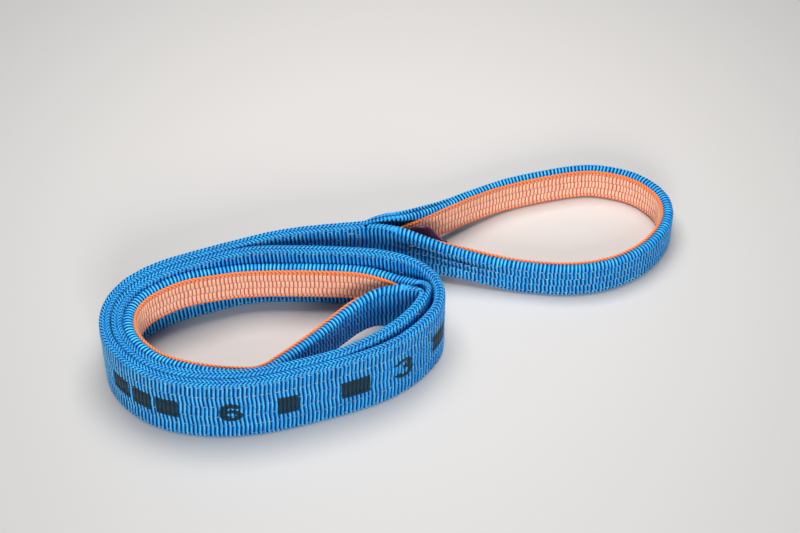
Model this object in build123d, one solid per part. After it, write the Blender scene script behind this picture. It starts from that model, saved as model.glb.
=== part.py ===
from build123d import *
import math
import os

os.makedirs("parts", exist_ok=True)

# ---------------------------------------------------------------- driving dimensions (mm)
web_w = 100.0            # width of the load webbing, which is the height of the coil
ply_t = 6.8              # thickness of one ply of webbing
ply_gap = 0.3            # stitched plies lie this far apart
lap_gap = 1.6            # free space between one lap of the coil and the next
edge_r = 2.2             # rounding of the woven edges

row_count = 6            # lengthwise seams that hold the two plies together
row_edge = 5.0           # first and last seam, from the webbing's edges
groove_w = 2.0           # the seams pull a shallow groove into the webbing
groove_d = 0.9
thread_w = 1.4
thread_t = 0.7

eye_h = 53.0             # height of an eye after its edges are folded in
flap_slot = 3.0          # gap left between the two folded edges
fold_h = 7.0             # depth of the bend along each folded edge
lining_h = 49.0          # wear lining sewn into each eye
lining_t = 3.8
eye_rows = 4             # seams that hold the folds and the lining

root_r = 7.2             # round root where the two arms of the eye leave the body
root_clear = 0.8

tag_t = 1.2
tag_top = 72.0
tag_low = 3.0
tag_root_low = 24.0      # between the arms the tag is cut back to clear their folds

bar_gap = 14.0           # cross seam at the end of the body: two upright rows, this far apart

half = ply_t + ply_gap / 2           # from the middle of the layer to its outer face
pitch = 2 * half + lap_gap           # from one lap to the next

# the way the sling is laid: x, y and heading of the middle of the layer
laid_outer = [
    (-48, 50, 188), (-137, 38, 190), (-250, 2, 201), (-354, -51, 221), (-389, -125, 270),
    (-335, -218, 325), (-230, -245, 1), (-85, -211, 20), (16, -154, 45), (53, -80, 92), (4, -17, 157),
    (-90, -1, 177),
]
turn_in = 2              # the second lap lies against the first from this place on
turn_out = 7             # and drifts away from it after this place, up to the inner seam
laid_inner_end = [(-32, -163.6, 36), (-6.3, -142, 43), (14.4, -118.4, 52), (32, -86, 72)]

# outer face of the outer eye: out along the near arm, round the bight and back along the far arm
laid_outer_eye = [
    (-10, 44.5, -4), (56, 34, -11), (180, 10.5, -8), (240, 6.5, 3), (314, 26, 28), (381, 94, 64),
    (390, 150, 100), (356, 203, 141), (300, 227, 168), (230, 222.5, 194), (130, 186, 211), (34, 116, 217),
]
far_leave = 213          # heading of the far arm where it meets the root

# outer face of the inner eye: its far arm out of the seam, and its near arm from the front of the coil up to its
# tight turn into the seam
inner_seat = 34.0        # the near arm leaves the front of the coil this far past the middle of the front
laid_inner_far_arm = [(42, -73, 93), (28, -52, 142), (0, -33, 151), (-36, -17.5, 162)]
laid_inner_arm = [(-127, -166, 46), (-76, -111, 48), (-48, -84, 36), (-29, -73, 19), (-12, -71.5, -6), (10, -75, -25)]

# the identity tag: sewn in between the arms, it bulges away from the near arm and comes back to it
laid_tag = [
    (-26, 53.2, 2), (-12, 54.8, 24), (7, 66.5, 32), (27, 75, 8), (43, 70, -50), (53, 57.6, -46), (66, 52.4, -13),
    (108, 43.4, -12),
]


# ---------------------------------------------------------------- plan curves made of tangent arcs
def unit(h):
    return math.cos(math.radians(h)), math.sin(math.radians(h))


def arc_through(x, y, h, x2, y2):
    """The arc that leaves (x, y) at heading h and passes (x2, y2)."""
    dx, dy = x2 - x, y2 - y
    chord = math.hypot(dx, dy)
    a = math.atan2(dy, dx) - math.radians(h)
    a = math.atan2(math.sin(a), math.cos(a))
    if abs(a) < 1e-4:
        return (x, y, h, chord, 0.0)
    return (x, y, h, chord / (2 * math.sin(a)), math.degrees(2 * a))


def arc_end(arc, share=1.0):
    x, y, h, r, sweep = arc
    c, s = unit(h)
    if sweep == 0.0:
        return x + r * share * c, y + r * share * s, h
    h2 = h + sweep * share
    c2, s2 = unit(h2)
    return x + r * (s2 - s), y - r * (c2 - c), h2


def biarc(p, q):
    """Two arcs that join one laid position to the next without a kink."""
    (x, y, h), (x2, y2, h2) = p, q
    c, s = unit(h)
    c2, s2 = unit(h2)
    vx, vy = x2 - x, y2 - y
    tx, ty = c + c2, s + s2
    vt = vx * tx + vy * ty
    vv = vx * vx + vy * vy
    den = 2 * (1 - (c * c2 + s * s2))
    d = (-vt + math.sqrt(vt * vt + den * vv)) / den if den > 1e-9 else vv / (2 * vt)
    mx, my = (x + d * c + x2 - d * c2) / 2, (y + d * s + y2 - d * s2) / 2
    first = arc_through(x, y, h, mx, my)
    second = arc_through(mx, my, arc_end(first)[2], x2, y2)
    return [first, second]


def route(poses):
    arcs = []
    for p, q in zip(poses, poses[1:]):
        start = p if not arcs else (p[0], p[1], arc_end(arcs[-1])[2])
        arcs += biarc(start, q)
    return arcs


def shifted(arcs, d):
    """The same route, moved sideways to its left by d."""
    out = []
    for x, y, h, r, sweep in arcs:
        c, s = unit(h)
        out.append((x - s * d, y + c * d, h, r if sweep == 0.0 else r - d, sweep))
    return out


def arc_len(arc):
    return abs(arc[3]) if arc[4] == 0.0 else abs(arc[3] * math.radians(arc[4]))


def stretch(arcs, start, end):
    """The part of a route between two lengths along it."""
    out, at = [], 0.0
    for arc in arcs:
        length = arc_len(arc)
        lo, hi = max(start - at, 0.0), min(end - at, length)
        if hi - lo > 1e-6:
            x, y, h = arc_end(arc, lo / length)
            share = (hi - lo) / length
            out.append((x, y, h, arc[3] * share, 0.0) if arc[4] == 0.0 else (x, y, h, arc[3], arc[4] * share))
        at += length
    return out


def total(arcs):
    return sum(arc_len(a) for a in arcs)


def edges_of(arcs, z=0.0):
    out = []
    for arc in arcs:
        a, m, b = (arc_end(arc, t)[:2] for t in (0.0, 0.5, 1.0))
        pts = [(q[0], q[1], z) for q in (a, m, b)]
        out.append(Line(pts[0], pts[2]) if arc[4] == 0.0 or abs(arc[4]) < 0.02 else ThreePointArc(*pts))
    return out


def backwards(arcs):
    return [(*arc_end(a)[:2], arc_end(a)[2] + 180, a[3] if a[4] == 0.0 else -a[3], -a[4]) for a in reversed(arcs)]


def band(arcs, n0, n1, z0, z1):
    """A wall that follows a route, between two distances to its left and two heights."""
    one, two = shifted(arcs, n0), backwards(shifted(arcs, n1))
    a0, b0 = arc_end(one[0], 0.0)[:2], arc_end(one[-1])[:2]
    a1, b1 = arc_end(two[0], 0.0)[:2], arc_end(two[-1])[:2]
    edges = edges_of(one, z0) + [Line((*b0, z0), (*a1, z0))] + edges_of(two, z0) + [Line((*b1, z0), (*a0, z0))]
    return extrude(make_face(Wire(edges)), amount=z1 - z0, dir=(0, 0, 1))


def side_prism(points):
    """Everything whose x and z lie inside an outline."""
    pts = [(x, -600.0, z) for x, z in points]
    return extrude(make_face(Polyline(*pts, close=True)), amount=1200.0, dir=(0, 1, 0))


def one_solid(shape):
    solids = sorted(shape.solids(), key=lambda s: s.volume)
    return solids[-1]


# ---------------------------------------------------------------- the body of the sling: one route, two laps
lap_one = route(laid_outer)
contact = shifted(lap_one[2 * turn_in:2 * turn_out], pitch)
join = route([laid_outer[-1], (contact[0][0], contact[0][1], contact[0][2])])
body_route = lap_one + join + contact + route([arc_end(contact[-1])] + laid_inner_end)
outer_joint = arc_end(body_route[0], 0.0)
inner_joint = arc_end(body_route[-1])

row_z = [row_edge + (web_w - 2 * row_edge) * i / (row_count - 1) for i in range(row_count)]


def ply_profile(n0, n1, grooved):
    """Cross-section of one ply, rounded at its woven edges, with the seams' grooves in one face."""
    mid = (n0 + n1) / 2
    shape = Pos(mid, web_w / 2) * RectangleRounded(ply_t, web_w, edge_r)
    face = n0 if grooved < 0 else n1
    for z in row_z:
        shape -= Pos(face, z) * Rectangle(2 * groove_d, groove_w)
    return shape


def swept(profile, arcs):
    x, y, h = arc_end(arcs[0], 0.0)
    c, s = unit(h)
    plane = Plane(origin=(x, y, 0), x_dir=(-s, c, 0), z_dir=(c, s, 0))
    # the plane's own y points up when x is to the left of the heading and z along it
    section = plane * profile if plane.y_dir.Z > 0 else plane * mirror(profile, about=Plane.XZ)
    return sweep(section, path=Wire(edges_of(arcs)))


sockets = [
    Pos(*outer_joint[:2], 0) * Cylinder(root_r + root_clear, 4 * web_w),
    Pos(*inner_joint[:2], 0) * Cylinder(root_r + 0.05, 4 * web_w),
]


def rect_frame(arcs, start, n0, n1, grow):
    """The cross seam: two upright rows joined at top and bottom, on one face of the body."""
    w, top, low = thread_w + 2 * grow, row_z[-1] - 6.0, row_z[0] + 6.0
    piece = stretch(arcs, start - w / 2, start + bar_gap + w / 2)
    whole = band(piece, n0, n1, low - w / 2, top + w / 2)
    hole = band(stretch(arcs, start + w / 2, start + bar_gap - w / 2), n0 - 1, n1 + 1, low + w / 2, top - w / 2)
    return whole - hole


body_len = total(body_route)
cross_at = {"outer": 10.0, "inner": body_len - 16.0 - bar_gap}
faces = {"needle": (-half, -1), "bobbin": (half, 1)}      # outer face of the coil, inner face of the coil
plies = {
    "body_outer_ply": (swept(ply_profile(-half, -half + ply_t, -1), body_route), "needle"),
    "body_inner_ply": (swept(ply_profile(half - ply_t, half, 1), body_route), "bobbin"),
}
nodes = {}
for name, (shape, side) in plies.items():
    face, way = faces[side]
    for end, start in cross_at.items():
        lo, hi = sorted((face + way, face - way * groove_d))
        shape -= rect_frame(body_route, start, lo, hi, 0.3)
    for socket in sockets:
        shape -= socket
    nodes[name] = one_solid(shape)

margin = 34.0            # the lengthwise seams stop short of the round roots
for side, (face, way) in faces.items():
    deep = face - way * groove_d
    lo, hi = sorted((deep, deep + way * thread_t))
    for i, z in enumerate(row_z):
        seam = band(stretch(body_route, 8.6, body_len - 8.6), lo, hi, z - thread_w / 2, z + thread_w / 2)
        if 0 < i < row_count - 1:
            # inside the cross seam's recess the rows give way to it
            seam = band(stretch(body_route, margin, body_len - margin), lo, hi, z - thread_w / 2, z + thread_w / 2)
        nodes[f"body_seam_{i + 1}_{side}_thread"] = one_solid(seam)
    for end, start in cross_at.items():
        nodes[f"{end}_cross_seam_{side}_thread"] = one_solid(rect_frame(body_route, start, lo, hi, 0.0))


# ---------------------------------------------------------------- folded eyes
def eye(prefix, arcs, root, edges, lining_from):
    """A folded eye on a route that runs along its outer face, with what is sewn into it.

    edges holds, for each half of the route, the heights of the upper and of the lower edge against x. The eye is
    made in two halves because its arms run into each other at the root.
    """
    t2 = 2 * ply_t + ply_gap
    face = t2 + lining_t
    length = total(arcs)
    webbing = Pos(*root[:2], web_w / 2) * Cylinder(root_r, web_w)
    linings, grooves, threads = [], [], {}
    for (tops, lows), start, end in zip(edges, (0.0, length / 2), (length / 2, length)):
        xs = [x for x, _ in tops]
        top, low = [z for _, z in tops], [z for _, z in lows]
        mid = [(t + b) / 2 for t, b in zip(top, low)]

        def zone(upper, lower):
            """The prism between two edges, as far along as they are apart."""
            gap = [u - v > 1e-6 for u, v in zip(upper, lower)]
            first, final = gap.index(True), len(gap) - 1 - gap[::-1].index(True)
            over = list(zip(xs, upper))[max(first - 1, 0):final + 2]
            under = list(zip(xs, lower))[first:final + 1]
            return side_prism(over + under[::-1])

        def around(off, grow):
            return zone([v + off + grow for v in mid], [v + off - grow for v in mid])

        # where the edges are folded in, a flap lies on the inner side above and below
        flap = [min((web_w - (t - b)) / 2, (t - b - flap_slot) / 2) for t, b in zip(top, low)]
        bend = [min(fold_h, f) for f in flap]
        layers = [
            (0.0, ply_t, zone(top, low)),
            (ply_t + ply_gap, t2, zone(top, [t - f for t, f in zip(top, flap)])),
            (ply_t + ply_gap, t2, zone([b + f for b, f in zip(low, flap)], low)),
            (ply_t - 1.0, ply_t + ply_gap + 1.0, zone(top, [t - f for t, f in zip(top, bend)])),
            (ply_t - 1.0, ply_t + ply_gap + 1.0, zone([b + f for b, f in zip(low, bend)], low)),
        ]
        part = stretch(arcs, start, end)
        for n0, n1, prism in layers:
            webbing += band(part, n0, n1, -20.0, 140.0) & prism

        first, final = max(start, lining_from[0]), min(end, length - lining_from[1])
        sewn = stretch(arcs, first, final)
        inset = stretch(arcs, max(start, lining_from[0] + 4.0), min(end, length - lining_from[1] - 4.0))
        piece = band(sewn, t2, face, -20.0, 140.0) & around(0.0, lining_h / 2)
        for i in range(eye_rows):
            off = (i - (eye_rows - 1) / 2) * (lining_h - 12.0) / (eye_rows - 1)
            channel, strip = around(off, groove_w / 2), around(off, thread_w / 2)
            grooves.append(band(sewn, -1.0, groove_d, -20.0, 140.0) & channel)
            piece -= band(sewn, face - groove_d, face + 1.0, -20.0, 140.0) & channel
            needle = band(inset, groove_d - thread_t, groove_d, -20.0, 140.0) & strip
            back = band(inset, face - groove_d, face - groove_d + thread_t, -20.0, 140.0) & strip
            threads.setdefault(f"{prefix}_seam_{i + 1}_needle_thread", []).append(needle)
            threads.setdefault(f"{prefix}_seam_{i + 1}_lining_thread", []).append(back)
        linings.append(piece)
    for groove in grooves:
        webbing -= groove
    out = {name: one_solid(pair[0] + pair[1]) for name, pair in threads.items()}
    out[f"{prefix}_webbing"] = one_solid(webbing)
    out[f"{prefix}_lining"] = one_solid(linings[0] + linings[1])
    return out


def on_root(root, heading, d=half):
    """Where a face of the webbing leaves the round root at a heading, on the right of it."""
    c, s = unit(heading)
    return root[0] + s * d, root[1] - c * d, heading


# the outer eye stands on the floor; its arms come down from the full width of the body
out_dir = outer_joint[2] - 180
outer_arcs = route([on_root(outer_joint, out_dir)] + laid_outer_eye + [on_root(outer_joint, far_leave)])
outer_tops = [(-60, web_w), (-30, 100), (14, 84), (60, 68), (110, 57), (160, eye_h), (420, eye_h)]
outer_lows = [(-60, 0.0), (-30, 0), (14, 8), (60, 12), (110, 7), (160, 0.0), (420, 0.0)]
outer_edges = (outer_tops, outer_lows)
nodes.update(eye("outer_eye", outer_arcs, outer_joint, (outer_edges, outer_edges), (54.0, 66.0)))

# the inner eye lies inside the coil, against the second lap; it rises towards its bight
tuck = half + 1.2
beside = join + contact[:8] + stretch(contact[8:9], 0.0, inner_seat)
back_wall = shifted(beside, tuck)
inner_dir = inner_joint[2]
inner_arcs = route([on_root(inner_joint, inner_dir)] + laid_inner_far_arm + [back_wall[0][:3]]) + back_wall + route(
    [arc_end(back_wall[-1])] + laid_inner_arm + [on_root(inner_joint, inner_dir + 180)])
far_tops = [(-450, 96.5), (-284, 96.5), (-257, 91.5), (-229, 86.5), (-187, 81.5), (-71, 83), (4, 84), (28, 94),
            (38, web_w), (60, web_w)]
far_lows = [(-450, 43.5), (-284, 43.5), (-257, 38.5), (-229, 33.5), (-187, 28.5), (-71, 30), (4, 29), (28, 6),
            (38, 0.0), (60, 0.0)]
near_tops = [(-450, 96.5), (-284, 96.5), (-230, 90), (-187, 83), (-127, 77), (-95, 76.5), (-56, 80), (-34, 84),
             (-11, 91), (10, 98), (20, web_w), (60, web_w)]
near_lows = [(-450, 43.5), (-284, 43.5), (-230, 37), (-187, 30), (-127, 24), (-95, 23.5), (-56, 23.5), (-34, 22),
             (-11, 14), (10, 4), (20, 0.0), (60, 0.0)]
nodes.update(eye("inner_eye", inner_arcs, inner_joint, ((far_tops, far_lows), (near_tops, near_lows)), (66.0, 82.0)))

# ---------------------------------------------------------------- identity tag, sewn in at the outer seam
tag_arcs = route(laid_tag)
tag_x0, tag_x1 = laid_tag[0][0] - 10, laid_tag[-1][0]
tag_shape = side_prism([
    (tag_x0, tag_root_low), (tag_x0, tag_top), (tag_x1 - 62, tag_top), (tag_x1 - 46, tag_top - 6),
    (tag_x1 - 30, tag_top - 20), (tag_x1 - 12, tag_top - 38), (tag_x1 + 10, tag_top - 44), (tag_x1 + 10, tag_low),
    (24, tag_low), (9, tag_root_low),
])
nodes["identity_tag"] = one_solid(band(tag_arcs, -tag_t / 2, tag_t / 2, 0.0, web_w) & tag_shape)
tack = stretch(tag_arcs, 4.0, 4.0 + thread_w)
nodes["tag_stitching"] = one_solid(band(tack, tag_t / 2, tag_t / 2 + thread_t, tag_root_low + 3, tag_top - 3))

# ---------------------------------------------------------------- origin under the middle of the box, then export
boxes = [solid.bounding_box() for solid in nodes.values()]
low_x, low_y, low_z = (min(getattr(b.min, axis) for b in boxes) for axis in "XYZ")
high_x, high_y, high_z = (max(getattr(b.max, axis) for b in boxes) for axis in "XYZ")
move = Location((-(low_x + high_x) / 2, -(low_y + high_y) / 2, -low_z))
for name, solid in nodes.items():
    placed = solid.moved(move)
    placed.label = name
    export_step(placed, f"parts/{name}.step")

print("size", round(high_x - low_x, 2), round(high_y - low_y, 2), round(high_z - low_z, 2))
print("moved by", [round(v, 3) for v in move.position])
print("outer joint", [round(v, 2) for v in outer_joint], "inner joint", [round(v, 2) for v in inner_joint])
print("body length", round(body_len, 1), "outer eye", round(total(outer_arcs), 1), "inner eye",
      round(total(inner_arcs), 1))
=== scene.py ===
import math

import bpy
import numpy as np
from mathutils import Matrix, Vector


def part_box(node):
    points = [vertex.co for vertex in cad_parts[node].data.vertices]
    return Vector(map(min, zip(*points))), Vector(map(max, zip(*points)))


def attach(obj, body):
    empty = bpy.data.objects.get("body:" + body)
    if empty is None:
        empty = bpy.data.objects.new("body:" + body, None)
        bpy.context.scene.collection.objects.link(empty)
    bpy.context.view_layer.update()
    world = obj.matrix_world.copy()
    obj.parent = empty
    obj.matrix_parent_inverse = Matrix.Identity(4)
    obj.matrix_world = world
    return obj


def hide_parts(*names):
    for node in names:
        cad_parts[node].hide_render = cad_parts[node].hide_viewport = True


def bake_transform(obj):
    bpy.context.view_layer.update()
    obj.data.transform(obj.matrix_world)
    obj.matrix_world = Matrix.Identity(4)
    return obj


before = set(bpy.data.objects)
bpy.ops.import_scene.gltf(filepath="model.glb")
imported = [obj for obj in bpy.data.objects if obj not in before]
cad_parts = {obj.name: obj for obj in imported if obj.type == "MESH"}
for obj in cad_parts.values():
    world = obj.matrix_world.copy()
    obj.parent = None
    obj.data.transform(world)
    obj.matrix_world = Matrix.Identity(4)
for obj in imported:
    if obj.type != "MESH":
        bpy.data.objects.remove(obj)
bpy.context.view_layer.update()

M = bpy.data.materials

# ---------------------------------------------------------------- the webbing, in mm
WEB_W, PLY, GAP, LAP = 100.0, 6.8, 0.3, 1.6
HALF = PLY + GAP / 2
PITCH = 2 * HALF + LAP
RIB, LINING_RIB = 5.5, 5.9            # one woven rib
STITCH, DASH = 10.2, 5.8              # from one stitch to the next, and what shows of it
ROWS = [5 + 18 * i for i in range(6)]
EYE_H, LINING_H, LINING_T, SLOT = 53.0, 49.0, 3.8, 3.0
EYE_ROWS = [(i - 1.5) * (LINING_H - 12) / 3 for i in range(4)]
THICK = 2 * PLY + GAP
THREAD_IN = 0.62                      # a stitch's middle lies this far inside the face
OUTER_TRIM, INNER_TRIM = (54.0, 48.0), (66.0, 82.0)   # bare webbing left before and after each lining
BACK_SEAT, BACK_GAP = 34.0, 1.2       # how far the inner eye follows the coil, and how close to it
BEND = 0.011                          # m from the hinge, short of the tag's sewn end

# the camera, fitted to the photo: place in m before the frame's shift, tilt in degrees, lens in mm
CAM_AT, CAM_TILT, CAM_LENS = (0.0, -1.857, 1.895), 44.57, 85.23

# how the sling is laid, as x, y and heading. Scratch scripts worked out positions from the photo, and for the
# body headings too. These places were picked from them, and then moved, rounded or kept as they were.
# The middle of the body's layer, and its last stretch up to the inner eye:
LAID = [
    (-48, 50, 188), (-137, 38, 190), (-250, 2, 201), (-354, -51, 221), (-389, -125, 270), (-335, -218, 325),
    (-230, -245, 1), (-85, -211, 20), (16, -154, 45), (53, -80, 92), (4, -17, 157), (-90, -1, 177),
]
LAID_INNER_END = [(-32, -163.6, 36), (-6.3, -142, 43), (14.4, -118.4, 52), (32, -86, 72)]
# the outer face of each eye's webbing:
LAID_INNER_FAR_ARM = [(42, -73, 93), (28, -52, 142), (0, -33, 151), (-36, -17.5, 162)]
LAID_INNER_ARM = [
    (-127, -166, 46), (-76, -111, 48), (-48, -84, 36), (-29, -73, 19), (-12, -71.5, -6), (10, -75, -25),
]
LAID_OUTER_EYE = [
    (-10, 44.5, -4), (56, 34, -11), (180, 10.5, -8), (240, 6.5, 3), (314, 26, 28), (381, 94, 64),
    (390, 150, 100), (356, 203, 141), (300, 227, 168), (230, 222.5, 194), (130, 186, 211), (34, 116, 217),
]
# the middle of the tag:
LAID_TAG = [
    (-26, 53.2, 2), (-12, 54.8, 24), (7, 66.5, 32), (27, 75, 8), (43, 70, -50), (53, 57.6, -46),
    (66, 52.4, -13), (108, 43.4, -12),
]


# ---------------------------------------------------------------- plan curves made of tangent arcs
def unit(h):
    return math.cos(math.radians(h)), math.sin(math.radians(h))


def arc_through(x, y, h, x2, y2):
    dx, dy = x2 - x, y2 - y
    a = math.atan2(dy, dx) - math.radians(h)
    a = math.atan2(math.sin(a), math.cos(a))
    if abs(a) < 1e-4:
        return (x, y, h, math.hypot(dx, dy), 0.0)
    return (x, y, h, math.hypot(dx, dy) / (2 * math.sin(a)), math.degrees(2 * a))


def arc_end(arc, share=1.0):
    x, y, h, r, sweep = arc
    c, s = unit(h)
    if sweep == 0.0:
        return x + r * share * c, y + r * share * s, h
    c2, s2 = unit(h + sweep * share)
    return x + r * (s2 - s), y - r * (c2 - c), h + sweep * share


def biarc(p, q):
    (x, y, h), (x2, y2, h2) = p, q
    c, s = unit(h)
    c2, s2 = unit(h2)
    vx, vy = x2 - x, y2 - y
    vt = vx * (c + c2) + vy * (s + s2)
    vv = vx * vx + vy * vy
    den = 2 * (1 - (c * c2 + s * s2))
    d = (-vt + math.sqrt(vt * vt + den * vv)) / den if den > 1e-9 else vv / (2 * vt)
    mx, my = (x + d * c + x2 - d * c2) / 2, (y + d * s + y2 - d * s2) / 2
    first = arc_through(x, y, h, mx, my)
    return [first, arc_through(mx, my, arc_end(first)[2], x2, y2)]


def route(poses):
    arcs = []
    for p, q in zip(poses, poses[1:]):
        arcs += biarc(p if not arcs else (p[0], p[1], arc_end(arcs[-1])[2]), q)
    return arcs


def shifted(arcs, d):
    return [(x - unit(h)[1] * d, y + unit(h)[0] * d, h, r if sweep == 0.0 else r - d, sweep)
            for x, y, h, r, sweep in arcs]


def arc_len(a):
    return abs(a[3]) if a[4] == 0.0 else abs(a[3] * math.radians(a[4]))


def total(arcs):
    return sum(arc_len(a) for a in arcs)


def stretch(arcs, start, end):
    out, at = [], 0.0
    for arc in arcs:
        length = arc_len(arc)
        lo, hi = max(start - at, 0.0), min(end - at, length)
        if hi - lo > 1e-6:
            x, y, h = arc_end(arc, lo / length)
            k = (hi - lo) / length
            out.append((x, y, h, arc[3] * k, 0.0) if arc[4] == 0.0 else (x, y, h, arc[3], arc[4] * k))
        at += length
    return out


lap_one = route(LAID)
contact = shifted(lap_one[4:14], PITCH)
join = route([LAID[-1], contact[0][:3]])
body_route = lap_one + join + contact + route([arc_end(contact[-1])] + LAID_INNER_END)
J1 = arc_end(body_route[0], 0.0)
J2 = arc_end(body_route[-1])
BODY = total(body_route)


def on_root(root, heading):
    c, s = unit(heading)
    return root[0] + s * HALF, root[1] - c * HALF, heading


outer_arcs = route([on_root(J1, J1[2] - 180)] + LAID_OUTER_EYE + [on_root(J1, 213)])
back_wall = shifted(join + contact[:8] + stretch(contact[8:9], 0.0, BACK_SEAT), HALF + BACK_GAP)
inner_arcs = route([on_root(J2, J2[2])] + LAID_INNER_FAR_ARM + [back_wall[0][:3]]) + back_wall + route(
    [arc_end(back_wall[-1])] + LAID_INNER_ARM + [on_root(J2, J2[2] + 180)])

# the CAD's place in the frame gives the shift from these plan coordinates to the frame's
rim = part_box("body_outer_ply")
rim_x = np.array([arc_end(a, t)[0] for a in shifted(lap_one, -HALF) for t in np.linspace(0, 1, 60)])
rim_y = np.array([arc_end(a, t)[1] for a in shifted(lap_one, -HALF) for t in np.linspace(0, 1, 60)])
SX, SY = rim[0].x * 1000 - rim_x.min(), rim[0].y * 1000 - rim_y.min()


def sample(arcs, s):
    """x, y and unit tangent at lengths s along a route."""
    ends = np.cumsum([arc_len(a) for a in arcs])
    k = np.clip(np.searchsorted(ends, s), 0, len(arcs) - 1)
    start = np.concatenate([[0.0], ends[:-1]])[k]
    share = (s - start) / np.array([arc_len(a) for a in arcs])[k]
    a = np.array(arcs)[k]
    h0 = np.radians(a[:, 2])
    h1 = h0 + np.radians(a[:, 4]) * share
    line = a[:, 4] == 0
    x = np.where(line, a[:, 0] + a[:, 3] * share * np.cos(h0), a[:, 0] + a[:, 3] * (np.sin(h1) - np.sin(h0)))
    y = np.where(line, a[:, 1] + a[:, 3] * share * np.sin(h0), a[:, 1] - a[:, 3] * (np.cos(h1) - np.cos(h0)))
    return x, y, np.cos(h1), np.sin(h1)


def place(arcs, s, n, z):
    """Points (rows of n and z at each s) in the frame, in metres."""
    x, y, tx, ty = sample(arcs, s.ravel())
    n, z = n.ravel(), z.ravel()
    return np.stack([x - ty * n + SX, y + tx * n + SY, z], 1) * 0.001


# ---------------------------------------------------------------- meshes
def make(name, pts, faces, mat, **attrs):
    mesh = bpy.data.meshes.new(name)
    sizes = np.array([len(f) for f in faces]) if isinstance(faces, list) else None
    mesh.vertices.add(len(pts))
    mesh.vertices.foreach_set("co", pts.astype(np.float32).ravel())
    if sizes is None:
        loops = faces.ravel()
        sizes = np.full(len(faces), faces.shape[1])
    else:
        loops = np.concatenate([np.asarray(f) for f in faces])
    mesh.loops.add(len(loops))
    mesh.loops.foreach_set("vertex_index", loops.astype(np.int32))
    mesh.polygons.add(len(sizes))
    mesh.polygons.foreach_set("loop_start", np.concatenate([[0], np.cumsum(sizes)[:-1]]).astype(np.int32))
    mesh.polygons.foreach_set("loop_total", sizes.astype(np.int32))
    mesh.update(calc_edges=True)
    mesh.validate()
    mesh.polygons.foreach_set("use_smooth", np.full(len(mesh.polygons), True))
    for key, values in attrs.items():
        a = mesh.attributes.new(key, "FLOAT", "POINT")
        a.data.foreach_set("value", np.asarray(values, np.float32).ravel())
    mesh.materials.append(mat)
    ob = bpy.data.objects.new(name, mesh)
    bpy.context.scene.collection.objects.link(ob)
    return ob


def tube_faces(cols, rows):
    """Quads of a closed section swept along columns, with a cap at each end."""
    i, j = np.meshgrid(np.arange(cols - 1), np.arange(rows), indexing="ij")
    a, b = i * rows + j, i * rows + (j + 1) % rows
    quads = np.stack([a, b, b + rows, a + rows], -1).reshape(-1, 4)
    return list(quads) + [np.arange(rows)[::-1], (cols - 1) * rows + np.arange(rows)]


RIB_U = np.array([0.0, 0.16, 0.36, 0.62, 0.84])       # where a rib is sampled, from one valley to the next
RIB_HEIGHT = np.array([0.0, 0.52, 0.94, 0.96, 0.55])


def rib_columns(start, end, pitch):
    count = max(2, int(round((end - start) / pitch)))
    k = np.repeat(np.arange(count), len(RIB_U))
    u = np.tile(RIB_U, count)
    s = start + (k + u) * (end - start) / count
    h = np.tile(RIB_HEIGHT, count)
    return np.append(s, end), np.append(h, 0.0), np.append(k, count - 1)


def jitter(k, lanes, amount, seed):
    """A small value for every rib in every lane, smooth enough along the strip to look woven."""
    r = np.random.default_rng(seed).normal(0, 1, (k.max() + 2, lanes))
    r = (r + 0.6 * np.roll(r, 1, 0) + 0.6 * np.roll(r, -1, 0)) / 1.5
    return r[k] * amount


def ribbed(name, arcs, s, h, k, n, z, nn, nz, lane, amp, stagger, dent, net, mat, pitch=RIB, seed=1):
    """A woven strip: ribs across it, shifted a little from lane to lane, with dents where it is sewn.

    n, z, nn, nz: the section's points and outward normals at each column. lane: which lane each row is in.
    amp: rib height per row. stagger: shift along the strip per row. dent: how far each row is drawn in.
    net: how far a row shows the open holes of a woven edge.
    """
    cols, rows = n.shape
    j1 = jitter(k, int(lane.max()) + 1, 0.055 * pitch, seed)[:, lane]
    j2 = jitter(k, int(lane.max()) + 1, 0.10, seed + 50)[:, lane]
    height = amp * (h[:, None] * (1 + j2) - 0.62) - dent
    nd = n + nn * height
    zd = z + nz * height
    sd = s[:, None] + stagger + j1
    pts = place(arcs, sd, nd, zd)
    # pit, kept as the depth attribute: how deep a point lies in a rib's valley or a sewn dent, which the
    # material paints as shade
    pit = np.clip((1 - h[:, None]) * np.clip(amp, 0, 1) + dent * 0.25, 0, 1)
    # the deepest dents, the creases and the parting groove, are painted dark as shade through this value
    sunk = np.clip((dent - 1.0) / 1.6, 0, 1)
    phase = (k + np.append(np.tile(RIB_U, (cols - 1) // len(RIB_U)), 1.0))[:, None] + 0 * n
    ob = make(name, pts, tube_faces(cols, rows), mat, depth=pit, along=sd * 0.001,
              across=np.broadcast_to(z, n.shape) * 0.001, side=np.broadcast_to(nn, n.shape), phase=phase,
              net=np.broadcast_to(net, n.shape), sunk=np.broadcast_to(sunk, n.shape))
    return ob


# ---------------------------------------------------------------- materials
def nodes_of(name):
    mat = M.new(name)
    mat.use_nodes = True
    nt = mat.node_tree
    return mat, nt, nt.nodes["Principled BSDF"]


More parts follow.
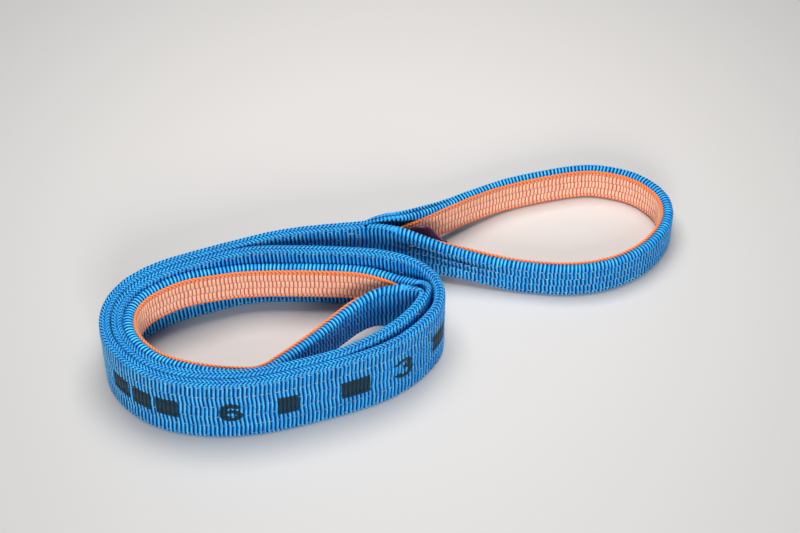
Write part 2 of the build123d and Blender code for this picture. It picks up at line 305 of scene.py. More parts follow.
class Net:
    """Short words for building a node tree."""

    def __init__(self, tree):
        self.t = tree

    def put(self, kind, **inputs):
        n = self.t.nodes.new(kind)
        for key, v in inputs.items():
            key = key.replace("_", " ")
            socket = n.inputs[int(key[1:])] if key[:1] == "i" and key[1:].isdigit() else n.inputs[key]
            if isinstance(v, bpy.types.NodeSocket):
                self.t.links.new(v, socket)
            else:
                socket.default_value = v
        return n

    def math(self, op, a, b=0.0, c=0.0, clamp=False):
        n = self.put("ShaderNodeMath", i0=a, i1=b, i2=c)
        n.operation, n.use_clamp = op, clamp
        return n.outputs[0]

    def attr(self, name):
        n = self.t.nodes.new("ShaderNodeAttribute")
        n.attribute_name = name
        return n.outputs["Fac"]

    def noise(self, scale, detail=3.0, rough=0.5, vector=None):
        n = self.put("ShaderNodeTexNoise", Scale=scale, Detail=detail, Roughness=rough)
        if vector is not None:
            self.t.links.new(vector, n.inputs["Vector"])
        return n.outputs["Fac"]

    def combine(self, x, y, z=0.0):
        return self.put("ShaderNodeCombineXYZ", X=x, Y=y, Z=z).outputs[0]

    def mix(self, fac, a, b):
        n = self.t.nodes.new("ShaderNodeMix")
        n.data_type = "RGBA"
        for key, v in ((0, fac), (6, a), (7, b)):
            if isinstance(v, bpy.types.NodeSocket):
                self.t.links.new(v, n.inputs[key])
            else:
                n.inputs[key].default_value = v if key == 0 else (*v, 1.0)
        return n.outputs[2]

    def ramp(self, fac, low, high, smooth=True):
        n = self.put("ShaderNodeMapRange", Value=fac)
        n.inputs[1].default_value, n.inputs[2].default_value = low, high
        n.interpolation_type = "SMOOTHSTEP" if smooth else "LINEAR"
        return n.outputs[0]


def srgb(r, g, b):
    return tuple(v / 255 / 12.92 if v <= 10 else ((v / 255 + 0.055) / 1.055) ** 2.4 for v in (r, g, b))


def fibres(net, along, across):
    """Fine filaments lying across the strip, with the small knots of the weave."""
    fine = net.noise(1.0, 3.0, 0.6, net.combine(net.math("MULTIPLY", along, 2600),
                                                net.math("MULTIPLY", across, 160)))
    knots = net.noise(1.0, 2.0, 0.5, net.combine(net.math("MULTIPLY", along, 520),
                                                 net.math("MULTIPLY", across, 560)))
    return fine, knots


def webbing_material(name, light, mid, dark, painted_highlight, print_marks=None, bump=0.35):
    mat, nt, bsdf = nodes_of(name)
    net = Net(nt)
    along, across, depth = net.attr("along"), net.attr("across"), net.attr("depth")
    fine, knots = fibres(net, along, across)
    patch = net.noise(14.0, 3.0, 0.55)
    fade = net.noise(3.1, 2.0, 0.5)
    c = net.mix(net.ramp(patch, 0.30, 0.72), mid, light)
    c = net.mix(net.math("MULTIPLY", net.ramp(fade, 0.35, 0.75), 0.35), c, tuple(v * 0.72 for v in mid))
    c = net.mix(net.math("MULTIPLY", net.ramp(fine, 0.42, 0.72), 0.40), c, light)
    c = net.mix(net.math("MULTIPLY", net.ramp(knots, 0.50, 0.72), 0.30), c, dark)
    # the crest of each rib gets a painted highlight; the valley between two ribs and the holes of the edge
    # get painted shade
    turn = net.math("MULTIPLY", net.attr("phase"), 2 * math.pi)
    swing = net.math("COSINE", turn)
    face = net.math("SUBTRACT", 1.0, net.ramp(net.attr("net"), 0.0, 0.15))
    uneven = net.noise(1.0, 2.0, 0.6, net.combine(net.math("MULTIPLY", along, 95),
                                                  net.math("MULTIPLY", across, 60)))
    crest_highlight = net.ramp(net.math("MULTIPLY", net.math("COSINE", net.math("SUBTRACT", turn, 0.5)), -1.0),
                     0.30, 1.0)
    crest_highlight = net.math("MULTIPLY", crest_highlight,
                     net.math("ADD", net.math("MULTIPLY", net.ramp(uneven, 0.3, 0.7), 0.65), 0.35))
    c = net.mix(net.math("MULTIPLY", crest_highlight, face), c, painted_highlight)
    # painted shade in each rib's valley and in the sewn dents
    valley_shade = net.math("MULTIPLY", net.ramp(swing, -0.05, 0.85), net.ramp(depth, 0.0, 0.4))
    c = net.mix(net.math("MULTIPLY", net.math("MULTIPLY", valley_shade, face), 0.95), c, dark)
    # the woven edge: a painted highlight on the closed loops, and painted shade in the rows of open holes
    loop_highlight = net.math("MULTIPLY", net.math("SUBTRACT", 1.0, face), net.ramp(fine, 0.30, 0.70))
    c = net.mix(net.math("MULTIPLY", loop_highlight, 0.60), c, painted_highlight)
    hole = net.math("MULTIPLY", net.attr("net"), net.math("ADD", net.math("MULTIPLY", swing, 0.5), 0.5))
    c = net.mix(net.math("MULTIPLY", net.ramp(hole, 0.16, 0.44), 0.98), c, dark)
    # painted shade in the deep creases and grooves
    c = net.mix(net.math("MULTIPLY", net.attr("sunk"), 0.85), c, dark)
    if print_marks is not None:
        c = print_marks(net, along, across, depth, c)
    nt.links.new(c, bsdf.inputs["Base Color"])
    r = net.math("ADD", net.math("MULTIPLY", fine, 0.20), 0.28)
    nt.links.new(net.math("ADD", r, net.math("MULTIPLY", depth, 0.2)), bsdf.inputs["Roughness"])
    b = net.put("ShaderNodeBump", Strength=bump, Distance=0.0006,
                Height=net.math("ADD", fine, net.math("MULTIPLY", knots, 0.7)))
    nt.links.new(b.outputs[0], bsdf.inputs["Normal"])
    bsdf.inputs["Specular IOR Level"].default_value = 0.55
    bsdf.inputs["Specular Tint"].default_value = (0.15, 0.70, 1.0, 1.0)
    return mat


# the glint colour is a painted highlight on rib crests and edge loops; the dark colour gives the weave's
# knots and also the painted shade in valleys, holes and creases
BLUE_LIGHT, BLUE = srgb(0, 160, 253), srgb(0, 122, 230)
BLUE_DARK, BLUE_PAINTED_HIGHLIGHT = srgb(0, 8, 50), srgb(104, 218, 255)


# ---------------------------------------------------------------- plain block marks on the coil's face
def s_at_x(x, lo, hi):
    """Length along the first lap where its front face passes x."""
    s = np.linspace(lo, hi, 4000)
    xs, ys, tx, ty = sample(lap_one, s)
    return float(s[np.argmin(np.abs(xs + ty * HALF - x))])


FRONT = (total(lap_one[:8]), total(lap_one[:18]))
MARK_LOW, MARK_HIGH = 33.0, 66.0
# plain solid rectangles, none of them letter-shaped: where a group starts against x, then (from, to) along
# the strip and the two heights
BARS = [
    (-374, [(0, 30, 34, 65), (36, 66, 34, 65), (72, 102, 34, 65)]),
    (-160, [(2, 30, 34, 65)]),
    (-76, [(0, 40, 34, 65)]),
    (43, [(0, 34, 34, 65)]),
]
marks = [(s_at_x(x, *FRONT) + a, s_at_x(x, *FRONT) + b, z0, z1)
         for x, group in BARS for a, b, z0, z1 in group]
SIX, THREE = s_at_x(-233, *FRONT), s_at_x(-6, *FRONT)
# what the shader and the stitches take as inked: each numeral counts as one box for the stitches
ink_boxes = marks + [(SIX, SIX + 30, MARK_LOW, MARK_HIGH), (THREE, THREE + 30, MARK_LOW, MARK_HIGH)]


def block_marks(net, along, across, depth, colour):
    """Two numerals and plain blocks, printed in dark ink on the face of the first lap."""
    wob = net.noise(1.0, 2.0, 0.5, net.combine(net.math("MULTIPLY", along, 420),
                                               net.math("MULTIPLY", across, 420)))
    wob = net.math("MULTIPLY", net.math("SUBTRACT", wob, 0.5), 0.0030)
    u, v = net.math("ADD", along, wob), net.math("ADD", across, wob)
    both = lambda a, b: net.math("MULTIPLY", a, b)
    either = lambda a, b: net.math("MAXIMUM", a, b)

    def near(value, middle, reach):
        apart = net.math("ABSOLUTE", net.math("SUBTRACT", value, middle / 1000))
        return net.math("LESS_THAN", apart, reach / 1000)

    def inside(cu, cv, ru, rv):
        """1 inside an ellipse."""
        a = net.math("DIVIDE", net.math("SUBTRACT", u, cu / 1000), ru / 1000)
        b = net.math("DIVIDE", net.math("SUBTRACT", v, cv / 1000), rv / 1000)
        far = net.math("ADD", net.math("MULTIPLY", a, a), net.math("MULTIPLY", b, b))
        return net.math("LESS_THAN", far, 1.0)

    def ring(cu, cv, ru, rv, wu, wv):
        return net.math("SUBTRACT", inside(cu, cv, ru, rv), inside(cu, cv, ru - wu, rv - wv), clamp=True)

    mask = None
    for s0, s1, z0, z1 in marks:
        bar = both(near(u, (s0 + s1) / 2, (s1 - s0) / 2), near(v, (z0 + z1) / 2, (z1 - z0) / 2))
        mask = bar if mask is None else either(mask, bar)
    mid = (MARK_LOW + MARK_HIGH) / 2
    six = both(ring(SIX + 15, mid, 15, 17, 9, 9),
               either(near(u, SIX + 5, 10), near(v, MARK_HIGH, 10)))
    six = either(six, ring(SIX + 15, MARK_LOW + 10.5, 15, 11, 8.5, 6.5))
    three = either(ring(THREE + 13, MARK_HIGH - 9, 14, 10, 9, 6),
                   ring(THREE + 14, MARK_LOW + 10.5, 15, 11.5, 9, 6.5))
    three = both(three, either(near(u, THREE + 24, 12), either(near(v, MARK_HIGH, 8), near(v, MARK_LOW, 8))))
    mask = either(mask, either(six, three))
    outward = net.math("LESS_THAN", net.attr("side"), -0.5)
    worn = net.ramp(net.noise(1.0, 4.0, 0.7, net.combine(net.math("MULTIPLY", along, 300),
                                                         net.math("MULTIPLY", across, 700))), 0.22, 0.32)
    mask = both(both(mask, outward), worn)
    return net.mix(net.math("MULTIPLY", mask, 0.96), colour, srgb(12, 17, 20))


blue_printed = webbing_material("blue_webbing_printed", BLUE_LIGHT, BLUE, BLUE_DARK, BLUE_PAINTED_HIGHLIGHT, block_marks)
blue = webbing_material("blue_webbing", BLUE_LIGHT, BLUE, BLUE_DARK, BLUE_PAINTED_HIGHLIGHT)


def lining_material():
    mat, nt, bsdf = nodes_of("salmon_lining")
    net = Net(nt)
    along, across, depth = net.attr("along"), net.attr("across"), net.attr("depth")
    fine, knots = fibres(net, along, across)
    cream, salmon = srgb(255, 236, 212), srgb(255, 178, 126)
    red, orange = srgb(218, 58, 8), srgb(255, 128, 26)
    c = net.mix(net.ramp(fine, 0.30, 0.62), salmon, cream)
    c = net.mix(net.math("MULTIPLY", net.ramp(knots, 0.48, 0.70), 0.45), c, salmon)
    # red in each rib's valley, in the sewn grooves and in the edge's valleys: partly the lining's own red
    # weave, partly painted shade
    swing = net.math("COSINE", net.math("MULTIPLY", net.attr("phase"), 2 * math.pi))
    c = net.mix(net.math("MULTIPLY", net.ramp(swing, -0.05, 0.98), 0.92), c, red)
    c = net.mix(net.math("MULTIPLY", net.attr("groove"), 0.75), c, red)
    c = net.mix(net.math("MULTIPLY", net.attr("rim"), 0.88), c, orange)
    c = net.mix(net.math("MULTIPLY", net.math("MULTIPLY", net.attr("rim"), net.ramp(swing, 0.1, 0.9)), 0.85),
                c, red)
    nt.links.new(c, bsdf.inputs["Base Color"])
    nt.links.new(net.math("ADD", net.math("MULTIPLY", fine, 0.2), 0.5), bsdf.inputs["Roughness"])
    b = net.put("ShaderNodeBump", Strength=0.35, Distance=0.0005,
                Height=net.math("ADD", fine, net.math("MULTIPLY", knots, 0.7)))
    nt.links.new(b.outputs[0], bsdf.inputs["Normal"])
    bsdf.inputs["Sheen Weight"].default_value = 0.2
    bsdf.inputs["Specular IOR Level"].default_value = 0.35
    return mat


def thread_material():
    mat, nt, bsdf = nodes_of("sewing_thread")
    net = Net(nt)
    tone = net.attr("tone")
    twist = net.put("ShaderNodeTexWave", Scale=1.0, Distortion=1.2, Vector=net.combine(
        net.math("MULTIPLY", net.attr("along"), 260), net.math("MULTIPLY", net.attr("across"), 260)))
    c = net.mix(net.ramp(tone, 0.0, 1.0, False), srgb(70, 120, 160), srgb(226, 208, 176))
    c = net.mix(net.math("MULTIPLY", twist.outputs["Fac"], 0.35), c, srgb(150, 120, 84))
    c = net.mix(net.math("LESS_THAN", tone, -0.1), c, srgb(16, 20, 22))
    nt.links.new(c, bsdf.inputs["Base Color"])
    nt.links.new(net.math("ADD", net.math("MULTIPLY", twist.outputs["Fac"], 0.2), 0.45),
                 bsdf.inputs["Roughness"])
    b = net.put("ShaderNodeBump", Strength=0.4, Distance=0.0002, Height=twist.outputs["Fac"])
    nt.links.new(b.outputs[0], bsdf.inputs["Normal"])
    return mat


def tag_material():
    mat, nt, bsdf = nodes_of("purple_tag")
    net = Net(nt)
    soft = net.noise(60.0, 3.0, 0.55)
    grain = net.noise(1400.0, 2.0, 0.5)
    c = net.mix(net.ramp(soft, 0.3, 0.7), srgb(46, 10, 48), srgb(84, 26, 80))
    nt.links.new(c, bsdf.inputs["Base Color"])
    nt.links.new(net.math("ADD", net.math("MULTIPLY", grain, 0.15), 0.28), bsdf.inputs["Roughness"])
    b = net.put("ShaderNodeBump", Strength=0.12, Distance=0.0002, Height=grain)
    nt.links.new(b.outputs[0], bsdf.inputs["Normal"])
    bsdf.inputs["Sheen Weight"].default_value = 0.15
    return mat


salmon, thread, purple = lining_material(), thread_material(), tag_material()


# ---------------------------------------------------------------- the two plies of the body
# round a woven edge, from its face to its back: degrees, rib height, shift in ribs, and how open the net is.
# The deep rows are the net's holes, half a rib apart from row to row, and the shallow rows its closed loops.
TOP_NET = [
    (8, 1.3, 0.0, 0.0), (26, 0.30, 0.05, 0.2), (44, 1.75, 0.0, 0.85), (62, 0.30, 0.28, 0.2),
    (90, 2.0, 0.5, 1.0), (118, 0.30, 0.72, 0.2), (136, 1.75, 1.0, 0.85), (154, 0.30, 0.95, 0.2),
    (172, 1.0, 1.0, 0.0),
]


def ply_section(n0, sewn_side):
    """Rows of a ply's section: n, z, normals, lane, rib height, shift along, dent, net. Its sewn face has the
    seams."""
    n1 = n0 + PLY
    rows = []
    out = -1.0 if sewn_side < 0 else 1.0
    face = n0 if sewn_side < 0 else n1
    back = n1 if sewn_side < 0 else n0
    r = 3.3
    zs = [(3.6, 0)]
    for q, z in enumerate(ROWS):
        zs.append((z, q))
        if q < 5:
            zs += [(z + f, q + 1) for f in (1.6, 5.5, 9.0, 12.5, 16.4)]
    zs.append((96.4, 6))
    for z, q in zs:
        near = min(abs(z - w) for w in ROWS)
        middle = abs((z - 5) % 18 - 9) / 9 if 5 < z < 95 else 1.0
        slant = ((z - 5) % 18 - 9) / 9 if near > 0.5 else 0.0
        amp = 0.9 if near < 0.5 else (1.5 if near < 2 else 1.75)
        rows.append((face, z, out, 0.0, q, amp, RIB * (0.12 * slant * (1 if q % 2 else -1)),
                     0.85 if near < 0.5 else 0.18 * middle, 0.0))
    mid = (n0 + n1) / 2
    for a, amp, turn, net in TOP_NET:
        w = math.radians(a)
        rows.append((mid + out * PLY / 2 * math.cos(w), WEB_W - r + r * math.sin(w), out * math.cos(w),
                     math.sin(w), 6, amp, RIB * turn, 0.0, net))
    for z in (88.0, 50.0, 12.0):
        rows.append((back, z, -out, 0.0, 7, 0.8, RIB, 0.2, 0.0))
    for a, amp, turn, net in TOP_NET[::-1]:
        w = math.radians(a)
        rows.append((mid + out * PLY / 2 * math.cos(w), r - r * math.sin(w), out * math.cos(w), -math.sin(w),
                     8, min(amp, 1.3), RIB * turn, 0.0, net))
    return np.array(rows).T


def body_ply(name, n0, sewn_side, mat, seed):
    n, z, nn, nz, lane, amp, stagger, dent, net = ply_section(n0, sewn_side)
    s, h, k = rib_columns(0.0, BODY, RIB)
    one = np.ones((len(s), 1))
    if sewn_side > 0:                       # keep the faces' outward sense
        n, z, nn, nz, lane, amp, stagger, dent, net = (
            v[::-1] for v in (n, z, nn, nz, lane, amp, stagger, dent, net))
    return ribbed(name, body_route, s, h, k, one * n, one * z, one * nn, one * nz, lane.astype(int),
                  one * amp, one * stagger, one * dent, one * net, mat, seed=seed)


# ---------------------------------------------------------------- eyes
def edge_heights(prefix, x, far):
    """Heights of an eye's upper and lower edge against x; far marks the inner eye's far arm."""
    if prefix == "outer_eye":
        xs = [-60, -30, 14, 60, 110, 160, 420]
        return (np.interp(x, xs, [100, 100, 84, 68, 57, EYE_H, EYE_H]),
                np.interp(x, xs, [0, 0, 8, 12, 7, 0, 0]))
    xs = [-450, -284, -257, -229, -187, -71, 4, 28, 38, 60]
    far_top = np.interp(x, xs, [96.5, 96.5, 91.5, 86.5, 81.5, 83, 84, 94, 100, 100])
    far_low = np.interp(x, xs, [43.5, 43.5, 38.5, 33.5, 28.5, 30, 29, 6, 0, 0])
    xs = [-450, -284, -230, -187, -127, -95, -56, -34, -11, 10, 20, 60]
    near_top = np.interp(x, xs, [96.5, 96.5, 90, 83, 77, 76.5, 80, 84, 91, 98, 100, 100])
    near_low = np.interp(x, xs, [43.5, 43.5, 37, 30, 24, 23.5, 23.5, 22, 14, 4, 0, 0])
    return np.where(far, far_top, near_top), np.where(far, far_low, near_low)


def smooth_heights(prefix, arcs, s):
    """Edge heights along a route, with their corners rounded off."""
    fine = np.arange(-60.0, total(arcs) + 60.0, 3.0)
    x = sample(arcs, np.clip(fine, 0, total(arcs)))[0]
    top, low = edge_heights(prefix, x, fine < total(arcs) / 2)
    w = np.hanning(19)
    w /= w.sum()
    pad = lambda v: np.convolve(np.pad(v, 9, mode="edge"), w, mode="valid")
    return np.interp(s, fine, pad(top)), np.interp(s, fine, pad(low))


def eye_webbing(name, prefix, arcs, mat, seed):
    length = total(arcs)
    s, h, k = rib_columns(0.0, length, RIB)
    top, low = smooth_heights(prefix, arcs, s)
    top, low, mid = top[:, None], low[:, None], ((top + low) / 2)[:, None]
    flap = np.clip((WEB_W - (top - low)) / 2, 0, (top - low - SLOT) / 2)
    fold = np.clip(flap / 9.0, 0, 1)
    fold = fold * fold * (3 - 2 * fold)
    t = PLY + (PLY + GAP) * fold                     # thickness at the folded edge
    r = t / 2 * 0.92
    cols = []

    def row(n, z, nn, nz, lane, amp, stagger, dent, net=0.0):
        cols.append([np.broadcast_to(np.asarray(v, float), top.shape)
                     for v in (n, z, nn, nz, lane, amp, stagger, dent, net)])

    sewn = np.clip((np.minimum(s, length - s) - 40) / 40, 0, 1)[:, None]
    along = s[:, None]
    free = prefix == "outer_eye"
    fades = np.clip((along - 12) / 30, 0, 1) * np.clip((230 - along) / 90, 0, 1) if free else 0 * along

    # these folds and the parting groove below are drawn in deep enough that the material paints them dark as
    # shade
    def creases(at):
        """Two lengthwise folds where the near arm spreads out into the body."""
        deep = 0 * top
        for below, amount in ((23 - along * 0.04, 2.7), (35 - along * 0.05, 2.1)):
            deep = deep + amount * fades * np.exp(-((top - below - at) / 3.4) ** 2)
        return deep

    # on the far arm the ply's edge and the folded edge part near the junction, with a groove between them
    back = length - along
    parting = np.clip((back - 6) / 20, 0, 1) * np.clip((190 - back) / 110, 0, 1) if free else 0 * along
    t = t + 3.0 * parting
    grid = [-21.5]
    for q, z in enumerate(EYE_ROWS):
        grid += [z - 1.4, z, z + 1.4] + ([z + 4.5, z + 7.8] if q < 3 else [])
    grid.append(21.5)
    spread = (top - low - 2 * r) / (EYE_H - 2 * 6.4)
    for g in grid:
        near = min(abs(g - w) for w in EYE_ROWS)
        dent = (0.75 if near < 0.5 else 0.1) * (sewn if near < 0.5 else 1.0)
        q = sum(g > w for w in EYE_ROWS)
        stag = RIB * 0.10 * (1 if q % 2 else -1) * math.sin(g / 4.5)
        at = mid + np.clip(g * np.maximum(spread, 1.0), low + r - mid, top - r - mid)
        row(0.0, at, -1.0, 0.0, q, 0.8 if near < 0.5 else 1.5, stag, dent + creases(at))
    open_edge = 1 - fold
    for a, amp, turn, hole in TOP_NET:
        w = math.radians(a)
        row(t / 2 - t / 2 * math.cos(w), top - r + r * math.sin(w), -math.cos(w), math.sin(w), 5,
            1.3 * fold + amp * open_edge, RIB * (0.3 * fold * a / 180 + open_edge * turn),
            parting * 4.2 * math.exp(-((a - 90) / 22) ** 2), hole * open_edge)
    end_stag = RIB * (0.3 + 0.7 * (1 - fold))
    edge = np.maximum(flap, r + 2.0)
    for f in (0.15, 0.5, 0.85):
        row(t, top - r - (edge - r) * f, 1.0, 0.0, 6, 1.0, end_stag, 0.0)
    row(t - 0.9 * fold, top - edge - 0.3, 0.7, -0.7, 6, 0.8, end_stag, 0.0)
    row(PLY + (t - PLY) * 0.35, top - edge - 0.5, 0.2, -0.6, 6, 0.3, end_stag, 0.0)
    row(PLY, top - edge - 1.0, 1.0, 0.0, 6, 0.8, end_stag, 0.0)
    row(PLY, mid, 1.0, 0.0, 6, 0.9, end_stag, 0.0)
    row(PLY, low + edge + 1.0, 1.0, 0.0, 6, 0.8, end_stag, 0.0)
    row(PLY + (t - PLY) * 0.35, low + edge + 0.5, 0.2, 0.6, 6, 0.3, end_stag, 0.0)
    row(t - 0.9 * fold, low + edge + 0.3, 0.7, 0.7, 6, 0.8, end_stag, 0.0)
    for f in (0.85, 0.5, 0.15):
        row(t, low + r + (edge - r) * f, 1.0, 0.0, 6, 1.0, end_stag, 0.0)
    for a, amp, turn, hole in TOP_NET[::-1]:
        w = math.radians(a)
        row(t / 2 - t / 2 * math.cos(w), low + r - r * math.sin(w), -math.cos(w), -math.sin(w), 7,
            1.1 * fold + min(amp, 1.3) * open_edge, RIB * (0.3 * fold * a / 180 + open_edge * turn), 0.0,
            hole * open_edge)
    n, z, nn, nz, lane, amp, stagger, dent, net = (np.concatenate([c[i] for c in cols], 1) for i in range(9))
    return ribbed(name, arcs, s, h, k, n, z, nn, nz, lane[0].astype(int), amp, stagger, dent, net, mat,
                  seed=seed)


def lining(name, prefix, arcs, trim, seed):
    length = total(arcs)
    s, h, k = rib_columns(trim[0], length - trim[1], LINING_RIB)
    top, low = smooth_heights(prefix, arcs, s)
    mid = ((top + low) / 2)[:, None]
    rows = []
    hh = LINING_H / 2
    grid = []
    for q, z in enumerate(EYE_ROWS):
        if q == 0:
            grid += [-21.6]
        grid += [z - 1.0, z, z + 1.0] + ([z + 4.2, z + 8.1] if q < 3 else [])
    grid.append(21.6)
    for g in grid[::-1]:
        near = min(abs(g - w) for w in EYE_ROWS)
        q = sum(g > w for w in EYE_ROWS)
        rows.append((THICK + LINING_T, g, 1.0, 0.0, q, 0.7 if near < 0.5 else 1.3,
                     LINING_RIB * (0.10 if q % 2 else -0.10) if near > 0.5 else 0.0,
                     0.75 if near < 0.5 else 0.0, 0.0))
    for a in (25, 60, 90, 125, 160):
        w = math.radians(a)
        rows.append((THICK + LINING_T / 2 + LINING_T / 2 * math.cos(w), -hh + 1.8 - 1.8 * math.sin(w),
                     math.cos(w), -math.sin(w), 5, 0.8, LINING_RIB * a / 180.0, 0.0, 1.0))
    for g in (-14.0, 14.0):
        rows.append((THICK + 0.3, g, -1.0, 0.0, 6, 0.3, LINING_RIB * 0.8, 0.0, 0.0))
    for a in (160, 125, 90, 60, 25):
        w = math.radians(a)
        rows.append((THICK + LINING_T / 2 + LINING_T / 2 * math.cos(w), hh - 1.8 + 1.8 * math.sin(w),
                     math.cos(w), math.sin(w), 5, 0.8, LINING_RIB * a / 180.0, 0.0, 1.0))
    n, z, nn, nz, lane, amp, stagger, dent, rim_ = np.array(rows).T
    one = np.ones((len(s), 1))
    ob = ribbed(name, arcs, s, h, k, one * n, mid + one * z, one * nn, one * nz, lane.astype(int), one * amp,
                one * stagger, one * dent, 0 * one * n, salmon, pitch=LINING_RIB, seed=seed)
    a = ob.data.attributes.new("rim", "FLOAT", "POINT")
    edge = np.where(np.abs(z) > 20.8, 1.0, rim_)
    a.data.foreach_set("value", (one * edge).astype(np.float32).ravel())
    a = ob.data.attributes.new("groove", "FLOAT", "POINT")
    a.data.foreach_set("value", (one * np.clip(dent / 0.75, 0, 1)).astype(np.float32).ravel())
    return ob


# ---------------------------------------------------------------- stitches
def stitches(name, arcs, starts, heights, n, out, seed, dash=DASH, hidden=0.25, wide=1.0, pale=0.75,
             inked=False):
    """Sewn dashes on a face: each a small twisted loaf of thread that dips into the webbing at its ends."""
    r = np.random.default_rng(seed)
    along = np.array([-0.5, -0.36, -0.12, 0.12, 0.36, 0.5])
    rise = np.array([-0.95, 0.02, 0.38, 0.38, 0.02, -0.95])
    ring = np.radians([0, 60, 120, 180, 240, 300])
    s0 = starts + r.normal(0, 0.35, len(starts))
    z0 = heights + r.normal(0, 0.22, len(starts))
    tilt = r.normal(0, 0.35, len(starts))
    tone = np.clip(r.normal(pale, 0.18, len(starts)), 0, 1)
    if inked:
        for s_lo, s_hi, z_lo, z_hi in ink_boxes:
            tone[(starts > s_lo - 1) & (starts < s_hi + 1) & (heights > z_lo) & (heights < z_hi)] = -1.0
    sink = np.where(r.random(len(starts)) < hidden, 0.30, 0.0) + r.random(len(starts)) * 0.10
    size = dash * (1 + r.normal(0, 0.10, len(starts)))
    shape = (len(starts), 6, 6)
    s = s0[:, None, None] + (along[None, :] * size[:, None])[:, :, None] + np.zeros(shape)
    z = (z0[:, None, None] + tilt[:, None, None] * along[None, :, None]
         + wide / 2 * np.cos(ring)[None, None, :] + 0 * s)
    d = rise[None, :, None] - sink[:, None, None] + 0.42 * np.sin(ring)[None, None, :] + 0 * s
    nn = n + out * d
    pts = place(arcs, s, nn, z)
    base = (np.arange(len(starts)) * 36)[:, None]
    i, j = np.meshgrid(np.arange(5), np.arange(6), indexing="ij")
    a, b = (i * 6 + j).ravel(), (i * 6 + (j + 1) % 6).ravel()
    quads = np.stack([a, b, b + 6, a + 6], 1)
    if out < 0:
        quads = quads[:, ::-1]
    quads = (base[:, :, None] + quads[None]).reshape(-1, 4)
    ends = np.stack([np.arange(6)[::-1], 30 + np.arange(6)])
    if out < 0:
        ends = ends[:, ::-1]
    ends = (base[:, :, None] + ends[None]).reshape(-1, 6)
    ob = make(name, pts, list(quads) + list(ends), thread, tone=np.broadcast_to(tone[:, None, None], shape),
              along=s * 0.001, across=z * 0.001)
    return ob


def dashes(start, end, phase=0.0):
    return np.arange(start + phase, end, STITCH)


def finish_piece(ob, body, slot, *nodes, blend=None):
    if blend is None:
        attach(ob, body)
    else:
        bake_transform(ob)
    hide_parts(*nodes)
    return ob


# ---------------------------------------------------------------- the camera comes first
cam = bpy.data.objects.new("camera", bpy.data.cameras.new("camera"))
bpy.context.scene.collection.objects.link(cam)
cam.location = (CAM_AT[0] + 0.001 * SX, CAM_AT[1] + 0.001 * SY, CAM_AT[2])
cam.rotation_euler = (math.radians(90 - CAM_TILT), 0, 0)
cam.data.lens, cam.data.sensor_width = CAM_LENS, 36.0
cam.data.clip_start, cam.data.clip_end = 0.05, 30
bpy.context.scene.camera = cam

# ---------------------------------------------------------------- pieces
outer_ply = finish_piece(body_ply("outer_ply_of_body", -HALF, -1, blue_printed, 3), "coiled_body",
                         "load_webbing", "body_outer_ply")
inner_ply = finish_piece(body_ply("inner_ply_of_body", HALF - PLY, 1, blue, 4), "coiled_body",
                         "load_webbing", "body_inner_ply")

hinge = ((J1[0] + SX) / 1000, (J1[1] + SY) / 1000, 0.05)
past = (hinge[0] + BEND, hinge[1] - 0.001, 0.05)
eyes = [
    ("outer_eye", outer_arcs, "outer_eye", OUTER_TRIM, 5),
    ("inner_eye", inner_arcs, "coiled_body", INNER_TRIM, 8),
]
for prefix, arcs, body, trim, seed in eyes:
    length = total(arcs)
    web = finish_piece(eye_webbing(f"webbing_of_{prefix}", prefix, arcs, blue, seed), body, "load_webbing",
                       f"{prefix}_webbing", blend=(hinge, past) if prefix == "outer_eye" else None)
    pad = finish_piece(lining(f"lining_of_{prefix}", prefix, arcs, trim, seed + 1), body, "wear_lining",
                       f"{prefix}_lining")
    for i, off in enumerate(EYE_ROWS):
        s = dashes(trim[0] + 4, length - trim[1] - 4, 1.7 * i)
        top, low = smooth_heights(prefix, arcs, s)
        mid = (top + low) / 2
        finish_piece(stitches(f"{prefix}_row_{i + 1}_outside", arcs, s, mid + off, THREAD_IN, -1, 30 + i,
                              hidden=0.5), body, "seam_thread", f"{prefix}_seam_{i + 1}_needle_thread")
        finish_piece(stitches(f"{prefix}_row_{i + 1}_lining", arcs, s + STITCH / 2, mid + off,
                              THICK + LINING_T - 0.9, 1, 40 + i, dash=4.0, hidden=0.9), body,
                     "seam_thread", f"{prefix}_seam_{i + 1}_lining_thread")

for i, z in enumerate(ROWS):
    lo, hi = (9.0, BODY - 9.0) if i in (0, 5) else (30.0, BODY - 34.0)
    s = dashes(lo, hi, 2.3 * (i % 3))
    faint = 0.10 if i > 3 else 0.45
    finish_piece(stitches(f"body_row_{i + 1}_outside", body_route, s, np.full(len(s), z), -HALF + THREAD_IN,
                          -1, 60 + i, hidden=faint, pale=0.85 - faint, inked=True), "coiled_body",
                 "seam_thread", f"body_seam_{i + 1}_needle_thread")
    s = s + STITCH / 2
    finish_piece(stitches(f"body_row_{i + 1}_inside", body_route, s, np.full(len(s), z), HALF - 0.72, 1,
                          70 + i), "coiled_body", "seam_thread", f"body_seam_{i + 1}_bobbin_thread")


def cross_seam(name, start, n, out, seed):
    """Short stitches up the webbing at the end of the body, in two upright rows."""
    ob_s, ob_z = [], []
    for s in (start, start + 14.0):
        z = np.arange(12.0, 90.0, 4.6)
        ob_s.append(np.full(len(z), s))
        ob_z.append(z)
    for z in (11.0, 89.0):
        s = np.arange(start + 3.5, start + 12.0, 4.2)
        ob_s.append(s)
        ob_z.append(np.full(len(s), z))
    return stitches(name, body_route, np.concatenate(ob_s), np.concatenate(ob_z), n, out, seed, dash=2.6,
                    hidden=0.1, wide=2.0)


for end, start in (("outer", 10.0), ("inner", BODY - 30.0)):
    for side, n, out in (("needle", -HALF + 0.35, -1), ("bobbin", HALF - 0.35, 1)):
        finish_piece(cross_seam(f"{end}_cross_seam_{side}", start, n, out, 80 + out), "coiled_body",
                     "seam_thread", f"{end}_cross_seam_{side}_thread")

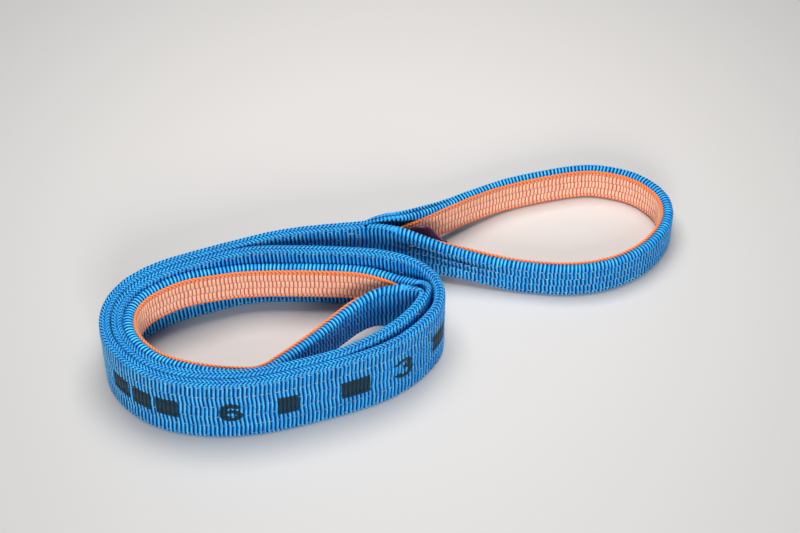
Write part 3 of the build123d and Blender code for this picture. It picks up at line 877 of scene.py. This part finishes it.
# ---------------------------------------------------------------- identity tag
tag_arcs = route(LAID_TAG)
s = np.linspace(0, total(tag_arcs), 90)
x = sample(tag_arcs, s)[0]
top = np.interp(x, [-36, 46, 62, 78, 96, 118], [72, 72, 66, 52, 34, 28])
low = np.interp(x, [-36, 9, 24, 118], [24, 24, 3, 3])
w = np.hanning(13) / np.hanning(13).sum()
top = np.convolve(np.pad(top, 6, mode="edge"), w, mode="valid")
low = np.convolve(np.pad(low, 6, mode="edge"), w, mode="valid")
v = np.linspace(0, 1, 12)
ripple = 0.5 * np.sin(s / 19.0)[:, None] * np.sin(v * 3.1)[None]
front_n = -0.6 + ripple
back_n = 0.6 + ripple
zz = low[:, None] + (top - low)[:, None] * v[None]
n = np.concatenate([front_n, back_n[:, ::-1]], 1)
z = np.concatenate([zz, zz[:, ::-1]], 1)
pts = place(tag_arcs, np.repeat(s[:, None], 24, 1), n, z)
tag = make("purple_identity_tag", pts, tube_faces(len(s), 24), purple)
finish_piece(tag, "tag", "tag_label", "identity_tag")
zt = np.arange(29.0, 68.0, 5.2)
finish_piece(stitches("tag_stitches", tag_arcs, np.full(len(zt), 4.7), zt, 0.75, 1, 91, dash=2.4,
                      hidden=0.0, wide=2.2), "tag", "seam_thread", "tag_stitching")

# ---------------------------------------------------------------- floor and light
floor_mat, nt, bsdf = nodes_of("studio_floor")
net = Net(nt)
# painted pool of light: the floor's colour is lighter near one point of the floor and darker farther off
spot = net.put("ShaderNodeSeparateXYZ", Vector=nt.nodes.new("ShaderNodeNewGeometry").outputs["Position"])
off = [net.math("SUBTRACT", spot.outputs[i], at) for i, at in ((0, 0.05), (1, 0.35))]
reach = net.math("SQRT", net.math("ADD", net.math("MULTIPLY", off[0], off[0]),
                                  net.math("MULTIPLY", off[1], off[1])))
nt.links.new(net.mix(net.ramp(reach, 0.1, 1.25), srgb(212, 209, 207), srgb(186, 185, 183)),
             bsdf.inputs["Base Color"])
bsdf.inputs["Roughness"].default_value = 0.5
bsdf.inputs["Specular IOR Level"].default_value = 0.25
bpy.ops.mesh.primitive_plane_add(size=14, location=(0, 0, -0.0004))
floor = bpy.context.object
floor.name = "studio_floor"
floor.data.materials.append(floor_mat)


def soft_light(name, at, to, size, watts, colour=(1, 1, 1)):
    data = bpy.data.lights.new(name, "AREA")
    data.shape, data.size, data.size_y, data.energy, data.color = "RECTANGLE", size[0], size[1], watts, colour
    ob = bpy.data.objects.new(name, data)
    bpy.context.scene.collection.objects.link(ob)
    ob.location = at
    d = np.array(to, float) - np.array(at, float)
    ob.rotation_euler = (math.atan2(math.hypot(d[0], d[1]), -d[2]), 0, math.atan2(d[1], d[0]) - math.pi / 2)
    return ob


soft_light("top", (-0.1, 0.3, 2.2), (-0.05, 0.1, 0), (1.6, 1.5), 52)
soft_light("key", (0.1, -2.4, 1.2), (0, -0.1, 0.03), (0.9, 0.8), 42)
world = bpy.data.worlds.new("studio")
bpy.context.scene.world = world
world.use_nodes = True
world.node_tree.nodes["Background"].inputs[0].default_value = (1, 1, 1, 1)
world.node_tree.nodes["Background"].inputs[1].default_value = 0.16
bpy.context.scene.view_settings.view_transform = "Standard"
